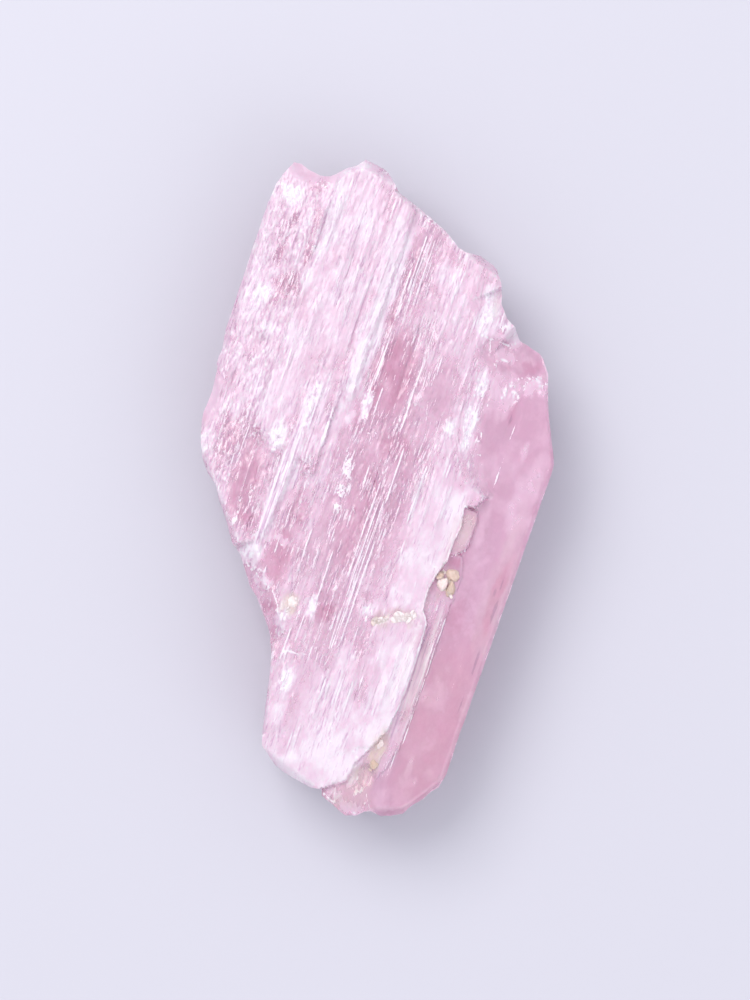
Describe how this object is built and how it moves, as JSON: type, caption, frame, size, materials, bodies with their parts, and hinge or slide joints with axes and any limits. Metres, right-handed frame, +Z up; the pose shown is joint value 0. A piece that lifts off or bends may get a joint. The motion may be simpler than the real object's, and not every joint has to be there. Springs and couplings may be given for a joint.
{
  "type": "kunzite crystal",
  "caption": "Flat striated blade of pale pink kunzite, broken at both ends, lying on its back face.",
  "frame": {"origin": "bottom centre of the crystal's box, on the surface it lies on", "axes": "+Y along the crystal's c axis, the way the striations run, +X across the blade to its glassy side, +Z up through the blade's thickness"},
  "size_m": [0.0338, 0.0594, 0.0112],
  "materials": {
    "kunzite": "translucent pink spodumene, glassy on the smooth faces and frosted on the striated ones",
    "matrix": "dull cream matrix grains caught in the ledge and the crack"
  },
  "bodies": {
    "root": {"kunzite_crystal": "kunzite"}
  },
  "joints": []
}
